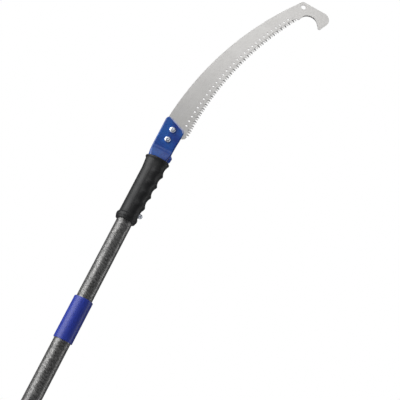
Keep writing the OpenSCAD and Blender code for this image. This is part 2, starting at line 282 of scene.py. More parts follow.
# ---------------------------------------------------------------- material helpers
class Shader:
    """A Principled material and short calls that add nodes to it."""

    def __init__(self, name, **sockets):
        self.material = bpy.data.materials.new(name)
        self.material.use_nodes = True
        self.tree = self.material.node_tree
        self.tree.nodes.clear()
        self.bsdf = self.add("ShaderNodeBsdfPrincipled")
        output = self.add("ShaderNodeOutputMaterial")
        self.tree.links.new(self.bsdf.outputs[0], output.inputs["Surface"])
        for socket, value in sockets.items():
            self.bsdf.inputs[socket.replace("_", " ")].default_value = value

    def add(self, kind, **settings):
        node = self.tree.nodes.new(kind)
        for key, value in settings.items():
            setattr(node, key, value)
        return node

    def put(self, node, socket, value):
        """Links an output into a socket, or sets a plain value there."""
        if isinstance(value, bpy.types.NodeSocket):
            self.tree.links.new(value, node.inputs[socket])
        elif value is not None:
            node.inputs[socket].default_value = value

    def place(self, stretch=(1, 1, 1), turn=(0, 0, 0)):
        """Object coordinates in metres, turned and stretched."""
        coords = self.add("ShaderNodeTexCoord")
        mapping = self.add("ShaderNodeMapping")
        self.put(mapping, "Vector", coords.outputs["Object"])
        self.put(mapping, "Rotation", turn)
        self.put(mapping, "Scale", stretch)
        return mapping.outputs[0]

    def noise(self, where, scale, detail=4.0, rough=0.5, warp=0.0):
        node = self.add("ShaderNodeTexNoise")
        self.put(node, "Vector", where)
        self.put(node, "Scale", scale)
        self.put(node, "Detail", detail)
        self.put(node, "Roughness", rough)
        self.put(node, "Distortion", warp)
        return node.outputs["Fac"]

    def cells(self, where, scale):
        """A random colour for each cell."""
        node = self.add("ShaderNodeTexVoronoi")
        self.put(node, "Vector", where)
        self.put(node, "Scale", scale)
        return node.outputs["Color"]

    def warp(self, where, scale, amount):
        """Shifts coordinates by noise, so that a pattern loses its regularity."""
        node = self.add("ShaderNodeTexNoise")
        self.put(node, "Vector", where)
        self.put(node, "Scale", scale)
        centred = self.add("ShaderNodeVectorMath", operation="SUBTRACT")
        self.put(centred, 0, node.outputs["Color"])
        self.put(centred, 1, (0.5, 0.5, 0.5))
        shift = self.add("ShaderNodeVectorMath", operation="SCALE")
        self.put(shift, 0, centred.outputs[0])
        self.put(shift, "Scale", amount)
        total = self.add("ShaderNodeVectorMath", operation="ADD")
        self.put(total, 0, where)
        self.put(total, 1, shift.outputs[0])
        return total.outputs[0]

    def ramp(self, factor, *stops):
        """Maps a factor to colours; each stop is a position and a grey level or a colour."""
        node = self.add("ShaderNodeValToRGB")
        self.put(node, "Fac", factor)
        ramp = node.color_ramp
        while len(ramp.elements) < len(stops):
            ramp.elements.new(0.5)
        for element, (position, colour) in zip(ramp.elements, stops):
            element.position = position
            element.color = (*colour, 1) if isinstance(colour, tuple) else (colour, colour, colour, 1)
        return node.outputs["Color"]

    def math(self, operation, a, b=None, c=None, clamp=False):
        node = self.add("ShaderNodeMath", operation=operation, use_clamp=clamp)
        self.put(node, 0, a)
        self.put(node, 1, b)
        self.put(node, 2, c)
        return node.outputs[0]

    def from_point(self, origin):
        """Object coordinates counted from an origin, as separate X, Y and Z."""
        shift = self.add("ShaderNodeVectorMath", operation="SUBTRACT")
        self.put(shift, 0, self.place())
        self.put(shift, 1, tuple(origin))
        parts = self.add("ShaderNodeSeparateXYZ")
        self.put(parts, 0, shift.outputs[0])
        return parts.outputs["X"], parts.outputs["Y"], parts.outputs["Z"]

    def length(self, a, b):
        square = self.math("ADD", self.math("POWER", a, 2.0), self.math("POWER", b, 2.0))
        return self.math("SQRT", square)

    def mix(self, factor, a, b, blend="MIX"):
        node = self.add("ShaderNodeMix", data_type="RGBA", blend_type=blend)
        self.put(node, "Factor", factor)
        for index, value in ((6, a), (7, b)):
            if isinstance(value, tuple):
                value = (*value, 1)
            self.put(node, index, value)
        return node.outputs[2]

    def edges(self, low=0.5, high=0.62):
        """White where the surface has an outward edge."""
        geometry = self.add("ShaderNodeNewGeometry")
        return self.ramp(geometry.outputs["Pointiness"], (low, 0.0), (high, 1.0))

    def bump(self, height, distance, strength=1.0, under=None):
        node = self.add("ShaderNodeBump")
        self.put(node, "Height", height)
        self.put(node, "Distance", distance)
        self.put(node, "Strength", strength)
        self.put(node, "Normal", under)
        self.tree.links.new(node.outputs[0], self.bsdf.inputs["Normal"])
        return node.outputs[0]

    def set(self, socket, value):
        self.put(self.bsdf, socket, value)


# ---------------------------------------------------------------- materials
def hammered_paint():
    """Hammered vein paint: short slanting silver strokes between dark veins, over a rolled steel tube."""
    s = Shader("hammered_paint", Metallic=0.6, Coat_Weight=0.3, Coat_Roughness=0.25)
    turned = s.place((1, 1, 1), (0, math.radians(-24), 0))
    strokes = s.add("ShaderNodeMapping")
    s.put(strokes, "Vector", turned)
    s.put(strokes, "Scale", (0.42, 0.6, 1.3))
    where = s.warp(strokes.outputs[0], 300, 0.0012)
    ridges = s.noise(where, 560, 3, 0.55, 0.5)
    blotch = s.noise(s.place((1, 1, 0.6)), 90, 4, 0.6, 0.5)
    silver = s.ramp(ridges, (0.36, (0.062, 0.061, 0.060)), (0.50, (0.155, 0.154, 0.152)),
                    (0.66, (0.285, 0.284, 0.280)))
    cloudy = s.ramp(blotch, (0.32, (0.80, 0.80, 0.80)), (0.68, (1.15, 1.14, 1.13)))
    s.set("Base Color", s.mix(1.0, silver, cloudy, "MULTIPLY"))
    s.set("Roughness", s.ramp(blotch, (0.3, 0.40), (0.7, 0.32)))
    fine = s.noise(s.place(), 2600, 2, 0.5)
    low = s.bump(fine, 0.00003, 0.35)
    s.bump(ridges, 0.0006, 0.45, low)
    return s.material


def sleeve_plastic():
    """Satin moulded blue plastic with faint turning marks and handling scuffs."""
    s = Shader("sleeve_plastic", IOR=1.5, Coat_Weight=0.15, Coat_Roughness=0.3)
    cloud = s.noise(s.place((1, 1, 0.4)), 30, 4, 0.55)
    blue = s.ramp(cloud, (0.3, (0.014, 0.032, 0.300)), (0.7, (0.021, 0.045, 0.365)))
    scuff = s.noise(s.place((1.0, 1.0, 0.16), (0, 0, 0.3)), 420, 6, 0.7)
    marks = s.ramp(scuff, (0.60, 0.0), (0.72, 1.0))
    worn = s.mix(s.edges(0.53, 0.62), blue, (0.09, 0.12, 0.50))
    faint = s.math("MULTIPLY", marks, 0.22)
    s.set("Base Color", s.mix(faint, worn, (0.06, 0.09, 0.46)))
    s.set("Roughness", s.ramp(scuff, (0.3, 0.36), (0.75, 0.52)))
    rings = s.noise(s.place((0.02, 0.02, 1)), 900, 2, 0.5)
    low = s.bump(rings, 0.00004, 0.4)
    s.bump(s.noise(s.place(), 1500, 3, 0.6), 0.00003, 0.15, low)
    return s.material


def blue_coat():
    """Glossy blue powder coat with orange peel, rubbed pale along its edges; a pale band under the slanted
    edge is a painted highlight.
    """
    s = Shader("blue_coat", IOR=1.5, Specular_IOR_Level=0.35, Coat_Weight=0.6, Coat_Roughness=0.12)
    cloud = s.noise(s.place(), 42, 5, 0.6)
    blue = s.ramp(cloud, (0.36, (0.004, 0.028, 0.225)), (0.64, (0.011, 0.088, 0.370)))
    chips = s.noise(s.place(), 900, 5, 0.7)
    rim = s.math("MULTIPLY", s.edges(0.52, 0.62), s.ramp(chips, (0.35, 0.2), (0.6, 0.8)))
    # Painted highlight: a pale band under the slanted edge, paler where the chips noise is high, standing in
    # for light on the rounded edge
    mouth = s.ramp(mouth_distance(s), (0.0, 1.0), (0.45, 0.9), (0.62, 0.0))
    painted_highlight = s.mix(chips, (0.30, 0.33, 0.52), (0.52, 0.54, 0.68))
    s.set("Base Color", s.mix(mouth, s.mix(rim, blue, (0.10, 0.17, 0.50)), painted_highlight))
    s.set("Roughness", s.ramp(s.noise(s.place(), 160, 5, 0.65), (0.3, 0.22), (0.75, 0.40)))
    peel = s.noise(s.place(), 620, 2, 0.5)
    s.bump(peel, 0.00022, 0.35)
    return s.material


def mouth_distance(s):
    """Distance below the ferrule's slanted edge, 1 being the width of the painted highlight band and more.
    """
    x, _, z = s.from_point(point(LOW_CORNER[0], 0, LOW_CORNER[1]))
    straight = s.math("ADD", s.math("MULTIPLY", x, math.cos(SLANT)), s.math("MULTIPLY", z, math.sin(SLANT)))
    round_off = s.length(x, z)
    beyond = s.math("GREATER_THAN", s.math("SUBTRACT", s.math("MULTIPLY", x, math.sin(SLANT)),
                                           s.math("MULTIPLY", z, math.cos(SLANT))), 0.0)
    below = s.math("LESS_THAN", z, 0.0)
    reach = s.math("ADD", s.math("MULTIPLY", beyond, round_off),
                   s.math("MULTIPLY", s.math("SUBTRACT", 1.0, beyond), straight))
    kept = s.math("MULTIPLY", reach, s.math("SUBTRACT", 1.0, below))
    gap = s.math("SUBTRACT", LOW_CORNER[2] * MM, kept)
    return s.math("DIVIDE", gap, HIGHLIGHT_BAND * MM, clamp=True)


def grip_rubber():
    """Soft black rubber with a fine slanting moulded grain and a trace of dust."""
    s = Shader("grip_rubber", IOR=1.48, Sheen_Weight=0.05, Sheen_Roughness=0.4)
    cloud = s.noise(s.place(), 55, 5, 0.6)
    dust = s.noise(s.place((1, 1, 0.5)), 480, 6, 0.7)
    black = s.ramp(cloud, (0.3, (0.0040, 0.0044, 0.0050)), (0.7, (0.0068, 0.0072, 0.0080)))
    grey = s.math("MULTIPLY", s.ramp(dust, (0.52, 0.0), (0.75, 1.0)), 0.22)
    dusty = s.mix(grey, black, (0.055, 0.054, 0.052))
    s.set("Base Color", s.mix(s.edges(0.54, 0.68), dusty, (0.04, 0.04, 0.042)))
    s.set("Roughness", s.ramp(cloud, (0.3, 0.44), (0.7, 0.56)))
    weave = s.add("ShaderNodeTexWave", wave_type="BANDS", bands_direction="Z", wave_profile="SIN")
    s.put(weave, "Vector", s.place((1, 1, 1), (0.5, 0.35, 0)))
    s.put(weave, "Scale", 190)
    s.put(weave, "Distortion", 1.6)
    s.put(weave, "Detail Scale", 3.0)
    low = s.bump(weave.outputs["Fac"], 0.00010, 0.35)
    s.bump(s.noise(s.place(), 1900, 3, 0.6), 0.00010, 0.5, low)
    return s.material


def saw_steel():
    """Saw steel brushed along the blade's curve, with faint stains and dull specks."""
    s = Shader("saw_steel", Metallic=0.75, Anisotropic=0.25)
    x, y, z = s.from_point(point(BACK_ARC[0], 0, BACK_ARC[1]))
    angle = s.math("ARCTAN2", z, s.math("MULTIPLY", x, -1.0))
    grain_place = s.add("ShaderNodeCombineXYZ")
    s.put(grain_place, "X", s.length(x, z))
    s.put(grain_place, "Y", s.math("MULTIPLY", angle, 0.018))
    s.put(grain_place, "Z", y)
    grain = s.noise(grain_place.outputs[0], 5200, 5, 0.7)
    stain = s.noise(s.place(), 26, 5, 0.6, 0.4)
    spots = s.noise(s.place(), 210, 4, 0.6)
    base = s.ramp(stain, (0.3, (0.60, 0.582, 0.560)), (0.7, (0.73, 0.715, 0.695)))
    lined = s.mix(s.ramp(grain, (0.35, 0.0), (0.65, 1.0)), base, (0.80, 0.79, 0.775))
    dull = s.math("MULTIPLY", s.ramp(spots, (0.60, 0.0), (0.72, 1.0)), 0.25)
    s.set("Base Color", s.mix(dull, lined, (0.46, 0.44, 0.42)))
    s.set("Roughness", s.math("MULTIPLY_ADD", grain, 0.16, 0.28))
    s.bump(grain, 0.00001, 0.4)
    return s.material


def bright_plate():
    """Bright nickel plate with fine scratches."""
    s = Shader("bright_plate", Metallic=1.0)
    cloud = s.noise(s.place(), 300, 4, 0.6)
    s.set("Base Color", s.ramp(cloud, (0.3, (0.76, 0.80, 0.90)), (0.7, (0.88, 0.91, 0.98))))
    s.set("Roughness", s.ramp(s.noise(s.place((1, 0.2, 1)), 1400, 5, 0.7), (0.3, 0.24), (0.75, 0.38)))
    s.bump(s.noise(s.place(), 900, 3, 0.5), 0.00003, 0.3)
    return s.material


def zinc_plate():
    """Dull zinc plate with a faint spangle."""
    s = Shader("zinc_plate", Metallic=1.0)
    spangle = s.cells(s.place(), 900)
    grey = s.ramp(spangle, (0.0, 0.0), (1.0, 1.0))
    s.set("Base Color", s.mix(grey, (0.50, 0.51, 0.53), (0.66, 0.66, 0.66)))
    s.set("Roughness", s.ramp(s.noise(s.place(), 700, 4, 0.6), (0.3, 0.30), (0.7, 0.48)))
    s.bump(s.noise(s.place(), 1600, 3, 0.6), 0.00004, 0.35)
    return s.material


def moulded(name, dark, light, rough):
    """Moulded plastic with a faint mould texture."""
    s = Shader(name, IOR=1.5)
    cloud = s.noise(s.place(), 70, 4, 0.6)
    s.set("Base Color", s.ramp(cloud, (0.3, dark), (0.7, light)))
    s.set("Roughness", s.ramp(s.noise(s.place(), 400, 4, 0.6), (0.3, rough), (0.7, rough + 0.15)))
    s.bump(s.noise(s.place(), 1800, 3, 0.6), 0.00008, 0.4)
    return s.material


# ---------------------------------------------------------------- the pole
TUBE_TURNS = 96
# Walls of the lower and the upper tube, and the chamfer on their edges
OUTER_WALL, INNER_WALL, TUBE_CHAMFER = 0.4, 0.5, 0.12
# The sleeve's gap round the tube, its pocket for the bush, its lip and the lip's height above the tube's end
SLEEVE_GAP, POCKET_R, LIP_R, LIP_UP = 0.05, 14.95, 13.8, 8.05
# Rounds on the sleeve's outer ends and inner edges
SLEEVE_ROUND, SLEEVE_CHAMFER = 0.7, 0.5
# The sleeve's rivets: shank radius, and how far each stands in from the ends of the pair
SHANK_R, RIVET_IN = 1.5, 3

def tube_profile(r_out, r_in, low, high):
    """The wall of a tube from low to high, with a small chamfer on each corner."""
    c = TUBE_CHAMFER
    return [(r_out, low + c), (r_out, high - c), (r_out - c, high), (r_in + c, high),
            (r_in, high - c), (r_in, low + c), (r_in + c, low), (r_out - c, low)]


def rod(r, start, length):
    """A plain round cutter that runs towards the fingers."""
    return solid_lathe("cut", [(0, 0), (r, 0), (r, length), (0, length)], 48, along((1, 0, 0), start))


def outer_tube():
    r = OUTER_HIGH.x / MM
    low, high = OUTER_LOW.z / MM, OUTER_HIGH.z / MM
    return lathe("lower_pole_tube", tube_profile(r, r - OUTER_WALL, low, high), TUBE_TURNS)


def inner_tube():
    r = INNER_HIGH.x / MM
    low, high = INNER_LOW.z / MM, INNER_HIGH.z / MM
    tube = lathe("upper_pole_tube", tube_profile(r, r - INNER_WALL, low, high), TUBE_TURNS)
    return carve(tube, rod(BUTTON_HOLE_R, point(0, 0, BUTTON_Z), r + 3))


def guide_sleeve():
    r = SLEEVE_HIGH.x / MM
    low, high = SLEEVE_LOW.z / MM, SLEEVE_HIGH.z / MM
    tube_end = OUTER_HIGH.z / MM
    inner_r = OUTER_HIGH.x / MM + SLEEVE_GAP
    lip_low = tube_end + LIP_UP
    e, c = SLEEVE_ROUND, SLEEVE_CHAMFER
    profile = [(r - 0.9, low)] + arc(r - e, low + e, e, -60, 0, 4)
    profile += [(r, low + 4), (r, (low + high) / 2), (r, high - 4)]
    profile += arc(r - e, high - e, e, 0, 60, 4) + [(r - 0.9, high), (LIP_R + c, high)]
    profile += [(LIP_R, high - c), (LIP_R, lip_low), (POCKET_R, lip_low), (POCKET_R, tube_end)]
    profile += [(inner_r, tube_end), (inner_r, low + c), (inner_r + c, low)]
    return lathe("guide_sleeve_shell", profile, TUBE_TURNS)


def sleeve_rivets():
    """Two low domed heads on the back of the sleeve, with their shanks."""
    face = SLEEVE_HIGH.y / MM
    middle = (SLEEVE_LOW.z + SLEEVE_HIGH.z) / 2
    low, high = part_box("sleeve_rivets")
    spread = (high.z - low.z) / MM - 2 * RIVET_IN
    heads = []
    for side in (-0.5, 0.5):
        start = Vector((0, 0, middle + side * spread * MM))
        shank = low.y / MM
        profile = [(0, shank), (SHANK_R, shank), (SHANK_R, face + 0.05), (3.0, face + 0.05),
                   (2.9, face + 0.35), (2.2, face + 0.78), (1.2, face + 0.96), (0, face + 1.0)]
        heads.append(solid_lathe("sleeve_rivet_heads", profile, 32, along((0, 1, 0), start), 40))
    return join(*heads)


# The cap's tongue: half thickness, and where it starts and ends to grow round
TONGUE_T, TONGUE_TOP, ROUND_BOTTOM = 6.0, 15.0, 21.0
# The cap's pocket for the pole: radius and bottom; radius and height of the hanging hole
CAP_BORE, CAP_BOTTOM, HANG_R, HANG_Z = 14.05, 22.0, 4.5, 10
# Heights of the two grooves' edges
GROOVES = (34.6, 35.4, 49.6, 50.4)


def butt_cap():
    """The rubber cap: a round sleeve that narrows to a flat tongue with a hanging hole."""
    n = TUBE_TURNS
    r = CAP_HIGH.x / MM
    top = CAP_HIGH.z / MM - HAND
    base = -HAND
    rings = []
    for z, w, t in ((0.0, r - 2.2, TONGUE_T - 1.6), (0.25, r - 1.2, TONGUE_T - 0.8),
                    (0.8, r - 0.4, TONGUE_T - 0.25), (1.8, r, TONGUE_T), (6.0, r, TONGUE_T),
                    (11.0, r, TONGUE_T), (TONGUE_TOP, r, TONGUE_T + 0.2)):
        rings.append([point(x, y, base + z) for x, y in stadium_points(w, t, n)])
    for i in range(1, 7):
        f = smoothstep(i / 6)
        rings.append([point(x, y, base + lerp(TONGUE_TOP, ROUND_BOTTOM, i / 6))
                      for x, y in stadium_points(r, lerp(TONGUE_T + 0.2, r, f), n)])
    for z in sorted((30.0, 34.0, 36.0, 45.0, 49.0, 51.0) + GROOVES):
        groove = 0.45 if z in GROOVES else 0.0
        rings.append(circle_ring(r - groove, base + z, n))
    rings.append(circle_ring(r, top - 0.8, n))
    rings.append(circle_ring(r - 0.25, top - 0.2, n))
    rings.append(circle_ring(r - 0.7, top, n))
    rings.append(circle_ring(CAP_BORE + 0.2, top, n))
    rings.append(circle_ring(CAP_BORE, top - 0.4, n))
    rings.append(circle_ring(CAP_BORE, base + CAP_BOTTOM, n))
    bm = bmesh.new()
    rows = skin(bm, rings)
    bm.faces.new(rows[0])
    bm.faces.new(rows[-1])
    cap = make("butt_end_cap", bm)
    hole = [(0, -20), (5.6, -20), (5.6, -6.6), (4.9, -5.9), (HANG_R, -5.3), (HANG_R, 5.3), (4.9, 5.9),
            (5.6, 6.6), (5.6, 20), (0, 20)]
    cutter = solid_lathe("cut", hole, 48, along((0, 1, 0), Vector((0, 0, HANG_Z * MM))))
    return carve(cap, cutter)


# ---------------------------------------------------------------- the grip
# The finger ridges: height of the top one, pitch, depth of the hollows, and how far the top one stands out
RIDGE_TOP, RIDGE_PITCH, RIDGE_DEPTH, RIDGE_REACH = 4.6, 20.7, 3.0, 22.8
GRIP_TURNS = 112
# The grip's back, and where its body meets the rim
GRIP_BACK, BODY_TOP = 16.3, 22.8
# The rim: radius, shift towards the fingers, thickness, top, and how flat it is from front to back
RIM_R, RIM_X, RIM_T, GRIP_UP, RIM_FLAT = 21.6, 1.8, 4.0, 28.0, 0.78
# Radii of the grip's pocket for the handle core and of its bore for the pole, and the button's hole
CORE_R, POLE_BORE, GRIP_HOLE_R = 15.05, 13.8, 4.7


def grip_front(z):
    """How far the finger side of the grip stands out at height z."""
    lowest = RIDGE_TOP - 3 * RIDGE_PITCH
    line = RIDGE_REACH + 0.042 * (z - RIDGE_TOP)
    if z < lowest:
        return lerp(17.0, 20.1, smoothstep((z - lowest + 12) / 12) ** 1.4)
    u = ((z - lowest) / RIDGE_PITCH) % 1.0
    hollow = 4 * u * (1 - u)
    return line - RIDGE_DEPTH * hollow


def grip_radius(turn, z):
    """The grip's outer radius at an angle round the pole, 0 facing the fingers."""
    back = GRIP_BACK + 1.6 * smoothstep((z - 2) / 24)
    facing = max(math.cos(turn), 0.0)
    return back + (grip_front(z) - back) * smoothstep(facing) ** 0.8


def rim_radius(turn, r):
    """Distance from the pole axis to a circle of radius r that is set off towards the fingers."""
    return RIM_X * math.cos(turn) + math.sqrt(r * r - (RIM_X * math.sin(turn)) ** 2)


def rim_reach(turn, size, a):
    """The rim's outer radius where its round is at angle a, never far inside the body it grows from."""
    body = grip_radius(turn, BODY_TOP)
    return max(rim_radius(turn, size), body - (0.3 if a > 0 else 0.0) - max(a, 0) * 0.04)


def polar_ring(radius, z, n):
    """A ring whose radius depends on the angle, flatter towards the top of the grip."""
    turns = [math.tau * i / n for i in range(n)]
    flat = lerp(1.0, RIM_FLAT, smoothstep((z + 4) / 26))
    return [point(radius(t) * math.cos(t), flat * radius(t) * math.sin(t), z) for t in turns]


def grip():
    n = GRIP_TURNS
    rings = []
    bead = [(0, 14.6), (0, 16.0), (0.3, 16.7), (1.3, 17.2), (2.9, 17.5), (3.9, 17.9), (4.9, 18.4),
            (6.3, 18.6), (7.9, 18.6), (9.3, 18.35), (10.3, 17.8), (11.1, 17.2), (11.9, 16.95)]
    for z, r in bead:
        rings.append(circle_ring(r, z - GRIP_DOWN, n))
    z = 12.9 - GRIP_DOWN
    while z < 22.4:
        rings.append(polar_ring(lambda t, z=z: grip_radius(t, z), z, n))
        near_ridge = abs(((z - RIDGE_TOP + RIDGE_PITCH / 2) % RIDGE_PITCH) - RIDGE_PITCH / 2) < 2.2
        z += 0.45 if near_ridge else 1.1
    middle, half = GRIP_UP - RIM_T / 2, RIM_T / 2
    for a in range(-84, 91, 12):
        tilt = math.radians(a)
        size = RIM_R - half + half * math.cos(tilt)
        z = middle + half * math.sin(tilt)
        rings.append(polar_ring(lambda t, size=size, a=a: rim_reach(t, size, a), z, n))
    for z in (GRIP_UP, 23.0, 18.0, 12.0, 6.0, 3.0):
        w, t = flare_size(z)
        rings.append([point(x, y, z) for x, y in stadium_points(w + 0.35, t + 0.35, n)])
    for z, r in ((2.1, CORE_R), (-90.0, CORE_R), (-90.3, POLE_BORE), (-91.2, POLE_BORE)):
        rings.append(circle_ring(r, z, n))
    bm = bmesh.new()
    skin(bm, rings, closed=True)
    sleeve = make("rubber_grip", bm, 38)
    return carve(sleeve, rod(GRIP_HOLE_R, point(14.4, 0, BUTTON_Z), 12), sharp=38)


# ---------------------------------------------------------------- the ferrule
# Way round the ferrule's tube
ROUND_AROUND = 2 * math.pi * TAIL_R
# Bottom of the tail, and how much wider the flat end grows on the tooth side
TAIL_END, MOUTH_GROWTH = -88, 1.8
# Slit for the blade's heel at the mouth, and the lug on the tooth side, as (x, z) outlines
SLIT = [(14.6, 76), (15.4, 75.5), (40, 75.5), (40, 130), (14.6, 130)]
LUG = [(16.2, 31), (20.6, 30.6), (21.5, 32.2), (22.4, 38.6), (22.1, 40.2), (18.6, 44.6), (16.4, 44.2)]
# Half the slit's width and half the lug's thickness
SLIT_HALF, LUG_HALF = 0.7, 1.5


def flare_size(z):
    """Half width and half thickness of the tube as it flattens; its way round stays the same."""
    w = TAIL_R + (FLAT_W - TAIL_R) * smoothstep((z - 2) / (FLAT_Z - 4)) ** 0.85
    t = (ROUND_AROUND - 4 * w) / (2 * math.pi - 4)
    return w, max(t, FLAT_T)


def flat_top(x):
    """Height of the slanted top edge at x."""
    left = HIGH_CORNER[0] + HIGH_CORNER[2] * math.cos(SLANT)
    right = LOW_CORNER[0] + LOW_CORNER[2] * math.cos(SLANT)
    if x < left:
        return HIGH_CORNER[1] + math.sqrt(max(HIGH_CORNER[2] ** 2 - (x - HIGH_CORNER[0]) ** 2, 0.0))
    if x > right:
        return LOW_CORNER[1] + math.sqrt(max(LOW_CORNER[2] ** 2 - (x - LOW_CORNER[0]) ** 2, 0.0))
    high = HIGH_CORNER[1] + HIGH_CORNER[2] * math.sin(SLANT)
    low = LOW_CORNER[1] + LOW_CORNER[2] * math.sin(SLANT)
    return lerp(high, low, (x - left) / (right - left))


def flat_ring(v, w, t, n, back=0.0):
    """A ring of the flattened end, v of the way up to the slanted edge, less a step back from it."""
    ring = []
    for x, y in stadium_points(w, t, n):
        if x > 0:
            x *= 1 + MOUTH_GROWTH / FLAT_W * smoothstep(v / 0.9)
        ring.append(point(x, y, FLAT_Z + v * (flat_top(x) - back - FLAT_Z)))
    return ring


def ferrule():
    n = 160
    rings = [circle_ring(TAIL_R - 0.3, TAIL_END, n), circle_ring(TAIL_R, TAIL_END + 0.3, n)]
    rings += [circle_ring(TAIL_R, z, n) for z in (-60, -30, 0)]
    for z in range(3, 50, 2):
        rings.append([point(x, y, z) for x, y in stadium_points(*flare_size(z), n)])
    for i in range(26):
        rings.append(flat_ring(i / 26, FLAT_W, FLAT_T, n))
    rings.append(flat_ring(1, FLAT_W, FLAT_T, n, 0.7))
    rings.append(flat_ring(1, FLAT_W, FLAT_T - 0.12, n, 0.3))
    rings.append(flat_ring(1, FLAT_W - 0.1, FLAT_T - 0.38, n, 0.06))
    rings.append(flat_ring(1, FLAT_W - 0.3, FLAT_T - 0.7, n, 0.0))
    rings.append(flat_ring(1, FLAT_W - 1.4, 0.95, n, 0.0))
    rings.append(flat_ring(1, FLAT_W - 1.6, 0.7, n, 0.3))
    rings.append(flat_ring(0.55, FLAT_W - 1.7, 0.7, n))
    rings.append(flat_ring(0.12, FLAT_W - 1.7, 0.7, n))
    for z in range(47, 4, -3):
        w, t = flare_size(z)
        rings.append([point(x, y, z) for x, y in stadium_points(w - 1.3, max(t - 1.3, 0.72), n)])
    rings += [circle_ring(TAIL_BORE, z, n) for z in (0, TAIL_END + 0.3)]
    rings.append(circle_ring(TAIL_BORE + 0.3, TAIL_END, n))
    bm = bmesh.new()
    skin(bm, rings, closed=True)
    tube = make("blade_ferrule", bm, 50)
    mouth = slab("cut", SLIT, SLIT_HALF)
    button = rod(BUTTON_HOLE_R, point(0, 0, BUTTON_Z), 16)
    carve(tube, mouth, button, sharp=50)
    lug = slab("lug", LUG, LUG_HALF)
    return join(tube, bevel(lug, 0.45, 3))


# ---------------------------------------------------------------- the blade
# The tooth tips as centre and radius of an arc
TOOTH_ARC = (652.8, 82.0, 622.6)
# First tooth and step in degrees, number and depth of the teeth, and how far a tip leans in steps
TOOTH_START, TOOTH_STEP, TOOTH_COUNT, TOOTH_H = 0.964, 0.432, 66, 6.5
TOOTH_RAKE = 0.2
# How far a tooth is set to its side
TOOTH_SET = 0.2
# The row of sap holes: radius, arc, drift towards the teeth for each hole, first and step in degrees, number
SAP_R, SAP_ARC, SAP_DRIFT, SAP_START, SAP_STEP, SAP_COUNT = 1.7, 635.2, 0.07, 2.175, 0.89, 30
TIP_HOLE, TIP_HOLE_R = (108.6, 416.2), 4.5
SCREW_X, SCREW_Z, SCREW_HOLE_R = 0.4, (67.5, 87.0), 3.1
# Half the blade's thickness, and the round on its edges
BLADE_HALF = 0.65
EDGE_ROUND = 0.22
# Heel and tang, from the first tooth round to the back
HEEL = [(27.4, 87.4), (27.0, 85.0), (25.6, 82.4), (14.0, 76.2)]
TANG = [(12.5, 57.0), (-14.5, 57.0), (-16.2, 90.0)]
# Heights of the points along the back
BACK_HEIGHTS = range(104, 418, 6)
# Nose, outer corner and point of the hook as centre, radius, first and last angle, and number of steps
NOSE = (106.2, 421.2, 5.3, 144, 87, 10)
HOOK_CORNER = (147.3, 409.6, 14.4, 87, -18, 20)
HOOK_SIDE = (156.0, 395.6)
HOOK_POINT = (150.9, 391.2, 3, -30, -180, 12)
# The hook's throat as centre and radius, and the angles that it spans
THROAT = (129.4, 386.4, 17.9)
THROAT_SPAN = (35, 170)
# Width and depth of the throat's ground edge, the angles where it starts and ends, and its run-out
HOOK_GRIND, HOOK_THIN = 1.7, 0.75
GRIND_START, GRIND_END, GRIND_RUN_OUT = 48, 150, 24


def edge_point(a, inward):
    """A point on the tooth side at angle a, some way inside the tooth tips."""
    t = math.radians(a)
    r = TOOTH_ARC[2] + inward
    return TOOTH_ARC[0] - r * math.cos(t), TOOTH_ARC[1] + r * math.sin(t)


def back_point(z):
    return BACK_ARC[0] - math.sqrt(BACK_ARC[2] ** 2 - (z - BACK_ARC[1]) ** 2), z


def gullet(i):
    return edge_point(TOOTH_START + (i - 0.5) * TOOTH_STEP, TOOTH_H)


def plain_outline():
    """The blade's outline from the heel round the tang, back, nose and hook to the last tooth's tip."""
    outline = HEEL + TANG
    outline += [back_point(z) for z in BACK_HEIGHTS]
    outline += arc(*NOSE) + arc(*HOOK_CORNER) + [HOOK_SIDE] + arc(*HOOK_POINT)
    outline += arc(*THROAT, *THROAT_SPAN, 30)
    return outline + [edge_point(TOOTH_START + (TOOTH_COUNT - TOOTH_RAKE) * TOOTH_STEP, 0)]


def inset(outline, i, by):
    """The outline's point i, moved inwards."""
    here = Vector(outline[i])
    before = here - Vector(outline[i - 1])
    after = Vector(outline[i + 1]) - here
    along_edge = (before.normalized() + after.normalized()).normalized()
    return here + Vector((along_edge.y, -along_edge.x)) * by


def edge_round(outline, i, side):
    """How far a face stays back from the outline, and its depth there: the near side of the throat is
    ground."""
    x, z = outline[i]
    in_throat = math.hypot(x - THROAT[0], z - THROAT[1]) < THROAT[2] + 0.1 and i < len(outline) - 2
    if side > 0 and in_throat:
        return EDGE_ROUND, 0.05
    if not in_throat:
        return EDGE_ROUND, EDGE_ROUND
    turn = math.degrees(math.atan2(z - THROAT[1], x - THROAT[0]))
    deep = smoothstep(min(turn - GRIND_START, GRIND_END - turn) / GRIND_RUN_OUT)
    return lerp(EDGE_ROUND, HOOK_GRIND, deep), lerp(EDGE_ROUND, HOOK_THIN, deep)


def fill_face(bm, loops):
    """Fills a flat face that has holes from its loops of vertices."""
    edges = []
    for loop in loops:
        for a, b in zip(loop, loop[1:] + loop[:1]):
            edges.append(bm.edges.get((a, b)) or bm.edges.new((a, b)))
    bmesh.ops.triangle_fill(bm, use_beauty=True, use_dissolve=False, edges=edges)


